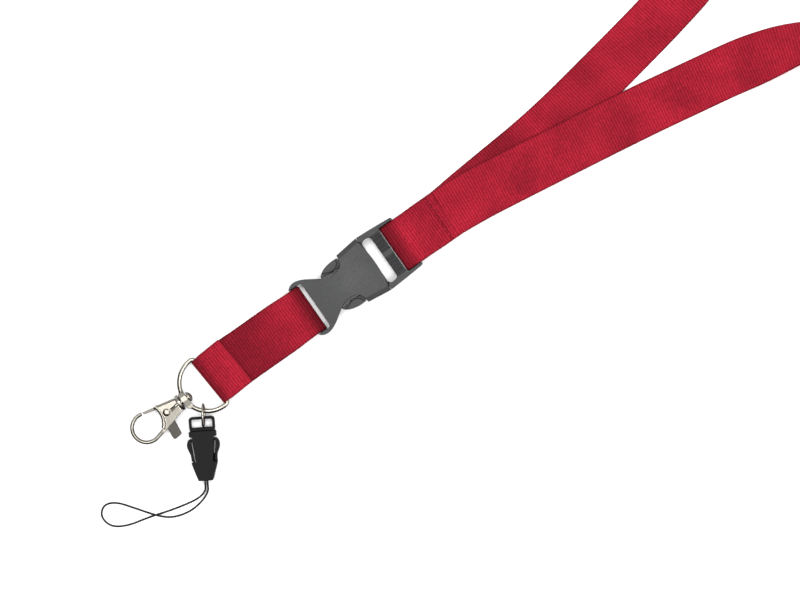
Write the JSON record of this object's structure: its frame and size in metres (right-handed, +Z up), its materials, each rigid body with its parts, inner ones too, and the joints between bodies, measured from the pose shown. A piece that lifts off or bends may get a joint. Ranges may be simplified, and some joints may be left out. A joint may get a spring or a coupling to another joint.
{
  "type": "lanyard",
  "caption": "Wide webbing lanyard with a side-release buckle, a D-ring with a swivel claw hook, and a small release buckle on a jump ring that carries a thin cord loop.",
  "frame": {"origin": "centre of the closed release buckle's flat underside", "axes": "+X from the hook towards the neck strap along the buckle, +Y across the webbing, +Z up from the surface that the lanyard lies on"},
  "size_m": [0.6095, 0.1588, 0.0248],
  "materials": {
    "strap_webbing": "woven ribbed webbing, crimson",
    "strap_thread": "sewing thread, crimson",
    "buckle_plastic": "dark grey, fine matte texture",
    "mini_plastic": "near black, satin",
    "nickel": "polished nickel plate",
    "lever_metal": "dull grey nickel plate",
    "ring_wire": "bright plated wire",
    "spring_steel": "spring steel strip",
    "cord_black": "braided black cord",
    "crimp_metal": "crimped sleeve"
  },
  "bodies": {
    "sleeve": {"sleeve_half": "buckle_plastic"},
    "frame": {"frame_half": "buckle_plastic"},
    "arm_left": {"release_arm_left": "buckle_plastic"},
    "arm_right": {"release_arm_right": "buckle_plastic"},
    "neck_strap": {"neck_strap_end": "strap_webbing", "neck_strap_lower_leg": "strap_webbing", "neck_strap_loop": "strap_webbing", "neck_strap_upper_leg": "strap_webbing", "neck_seam_thread": "strap_thread"},
    "tab": {"short_strap": "strap_webbing", "short_seam_thread": "strap_thread"},
    "ring": {"d_ring": "nickel"},
    "hook": {"swivel_post": "nickel", "hook_body": "nickel", "lever_rivet": "nickel", "lever_spring": "spring_steel"},
    "lever": {"hook_lever": "lever_metal"},
    "link": {"jump_ring": "ring_wire"},
    "mini_frame": {"mini_frame_half": "mini_plastic"},
    "mini_left": {"mini_arm_left": "mini_plastic"},
    "mini_right": {"mini_arm_right": "mini_plastic"},
    "mini_sleeve": {"mini_sleeve_half": "mini_plastic", "cord_crimp": "crimp_metal", "thin_cord": "cord_black"}
  },
  "joints": [
    {"name": "buckle_release", "type": "slide", "parent": "sleeve", "child": "frame", "axis": [1, 0, 0], "range_m": [0, 0.036], "deforming": ["release_arm_left", "release_arm_right"]},
    {"name": "arm_left_press", "type": "hinge", "parent": "frame", "child": "arm_left", "pos_m": [0.0074, 0.0099, 0.004], "axis": [0, 0, 1], "range_deg": [0, 5.5], "stiffness_Nm_per_rad": 0.05},
    {"name": "arm_right_press", "type": "hinge", "parent": "frame", "child": "arm_right", "pos_m": [0.0074, -0.0099, 0.004], "axis": [0, 0, -1], "range_deg": [0, 5.5], "stiffness_Nm_per_rad": 0.05},
    {"name": "neck_strap_pivot", "type": "hinge", "parent": "frame", "child": "neck_strap", "pos_m": [0.02475, 0, 0.004], "axis": [0, -1, 0], "range_deg": [-60, 60]},
    {"name": "short_strap_pivot", "type": "hinge", "parent": "sleeve", "child": "tab", "pos_m": [-0.0278, 0, 0.004], "axis": [0, 1, 0], "range_deg": [-60, 60]},
    {"name": "ring_pivot", "type": "hinge", "parent": "tab", "child": "ring", "pos_m": [-0.0864, -0.0009, 0.0041], "axis": [-0.0732, 0.9973, 0], "range_deg": [-60, 60]},
    {"name": "hook_swivel", "type": "hinge", "parent": "ring", "child": "hook", "pos_m": [-0.102, -0.0013, 0.0041], "axis": [1, 0, 0], "continuous": true},
    {"name": "lever_press", "type": "hinge", "parent": "hook", "child": "lever", "pos_m": [-0.1123, -0.0014, 0.0041], "axis": [0, 0, 1], "range_deg": [0, 22], "stiffness_Nm_per_rad": 0.02, "deforming": ["lever_spring"]},
    {"name": "link_swing", "type": "hinge", "parent": "ring", "child": "link", "pos_m": [-0.09754, -0.01106, 0.0041], "axis": [-0.7302, 0.6832, 0], "range_deg": [-20, 60]},
    {"name": "mini_swing", "type": "hinge", "parent": "link", "child": "mini_frame", "pos_m": [-0.09865, -0.0127, 0.006], "axis": [-0.8281, 0.5606, 0], "range_deg": [-15, 30]},
    {"name": "mini_left_press", "type": "hinge", "parent": "mini_frame", "child": "mini_left", "pos_m": [-0.10791, -0.01744, 0.0027], "axis": [0, 0, 1], "range_deg": [0, 12], "stiffness_Nm_per_rad": 0.01},
    {"name": "mini_right_press", "type": "hinge", "parent": "mini_frame", "child": "mini_right", "pos_m": [-0.10051, -0.02183, 0.0027], "axis": [0, 0, -1], "range_deg": [0, 12], "stiffness_Nm_per_rad": 0.01},
    {"name": "mini_release", "type": "slide", "parent": "mini_frame", "child": "mini_sleeve", "axis": [-0.5105, -0.8599, 0], "range_m": [0, 0.016], "deforming": ["mini_arm_left", "mini_arm_right"]}
  ]
}
